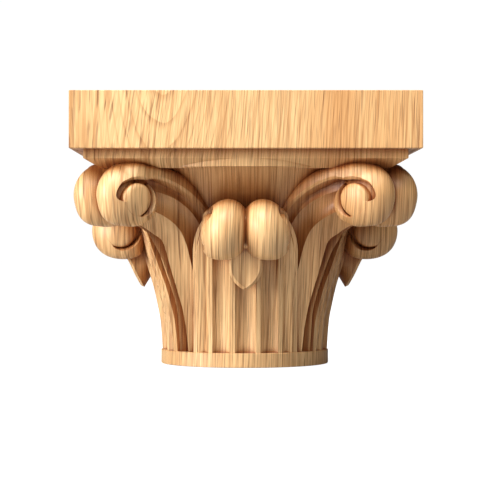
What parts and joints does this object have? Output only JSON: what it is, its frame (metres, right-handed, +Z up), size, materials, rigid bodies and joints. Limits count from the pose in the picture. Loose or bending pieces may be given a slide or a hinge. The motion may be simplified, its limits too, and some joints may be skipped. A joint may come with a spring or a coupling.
{
  "type": "pilaster capital",
  "caption": "Carved oak pilaster capital: square top block on a bell wrapped in fluted and keeled leaves that curl into scrolls, cut flat at the back to sit against a wall.",
  "frame": {"origin": "on the floor plane, under the middle of the capital's box: halfway along its width and halfway between the wall plane and the front of the top block", "axes": "+X to the right of someone who faces the front, +Y into the wall, +Z up"},
  "size_m": [0.2, 0.1, 0.1603],
  "materials": {
    "oak": "light oak, carved with the grain upright, thin satin wax"
  },
  "bodies": {
    "root": {"capital": "oak"}
  },
  "joints": []
}
